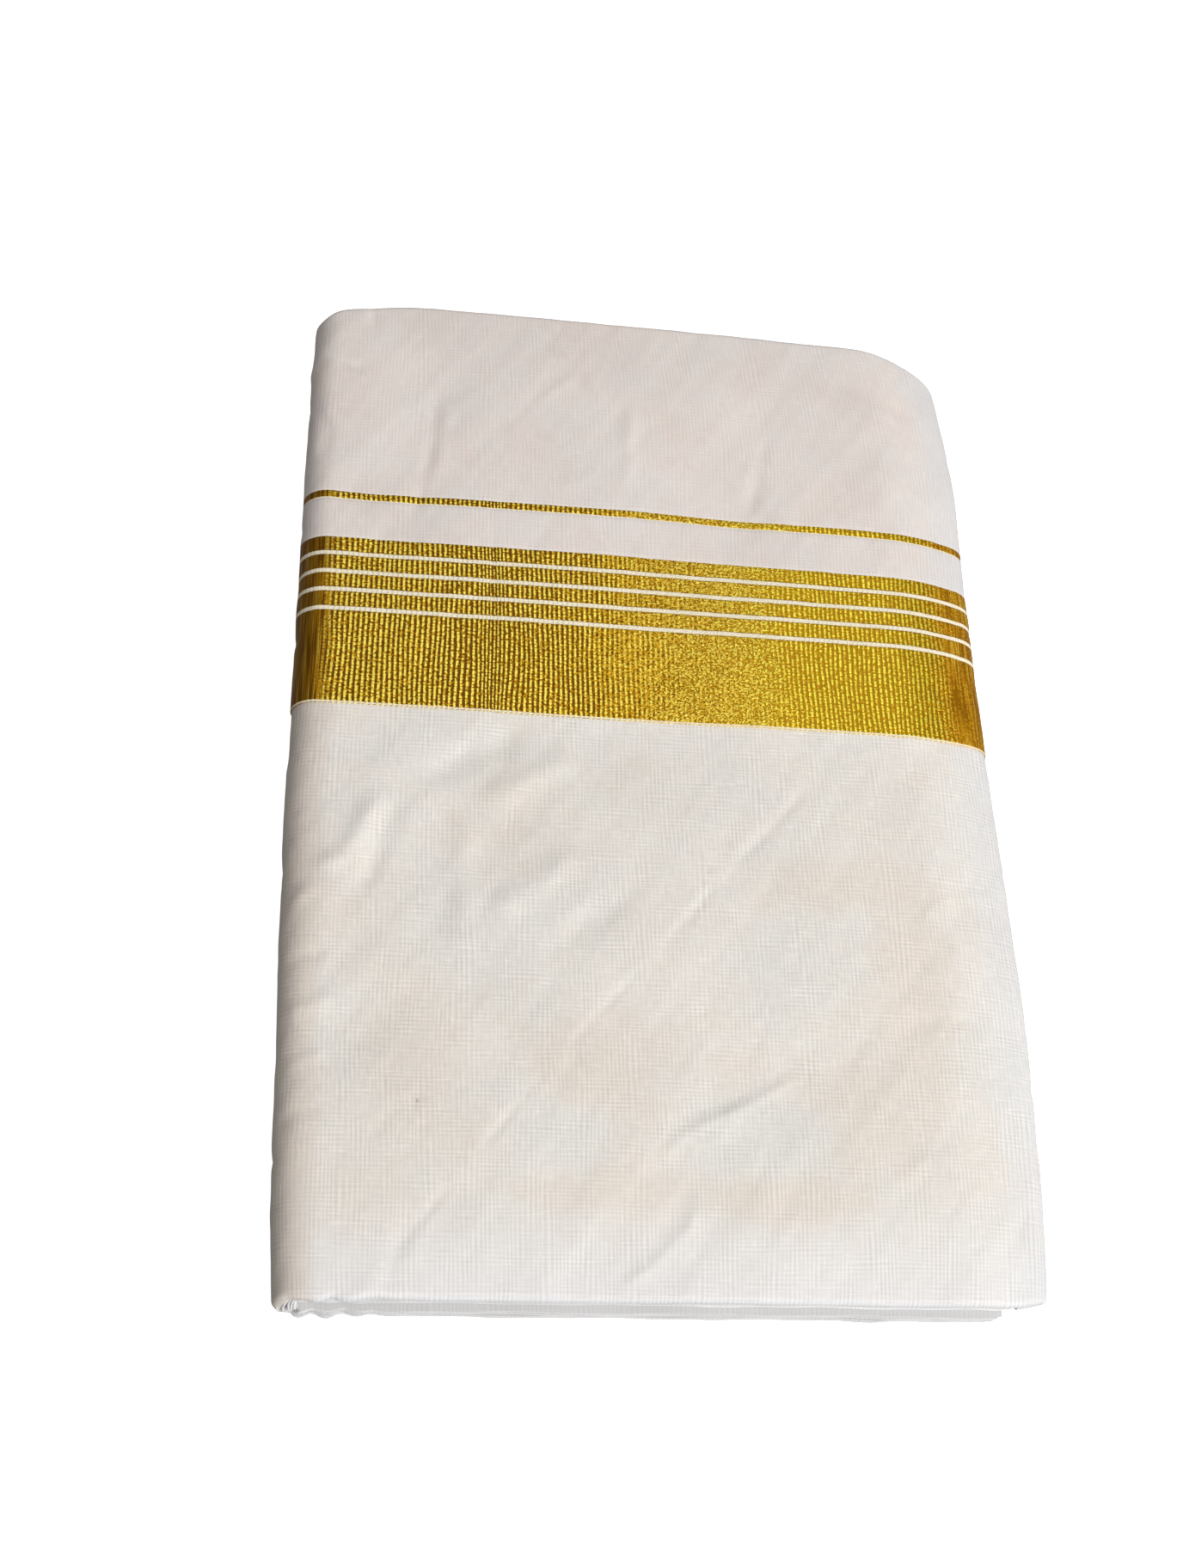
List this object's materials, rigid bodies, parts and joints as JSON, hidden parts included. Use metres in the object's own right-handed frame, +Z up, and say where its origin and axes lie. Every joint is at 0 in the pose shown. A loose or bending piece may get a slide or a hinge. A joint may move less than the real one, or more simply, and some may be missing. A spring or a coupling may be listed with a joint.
{
  "type": "folded dhoti",
  "caption": "White cotton dhoti folded flat: its gold-bordered edge lies over the front as a flap, with a smooth spine on the left, a rounded nose on the right and layered ends.",
  "frame": {"origin": "centre of the footprint, on the surface that the folded cloth lies on", "axes": "+X towards the open plies at the right, +Y from the near end to the far end, +Z up"},
  "size_m": [0.2483, 0.3721, 0.0199],
  "materials": {
    "cotton": "plain-woven fine cotton, off-white, matt with a faint sheen",
    "zari": "woven gold metallic thread, ribbed and glittering"
  },
  "bodies": {
    "root": {"hidden_layers": "cotton", "front_panel": "cotton", "border_band": "zari", "flap_gap": "cotton", "border_line": "zari", "flap_cloth": "cotton"}
  },
  "joints": []
}
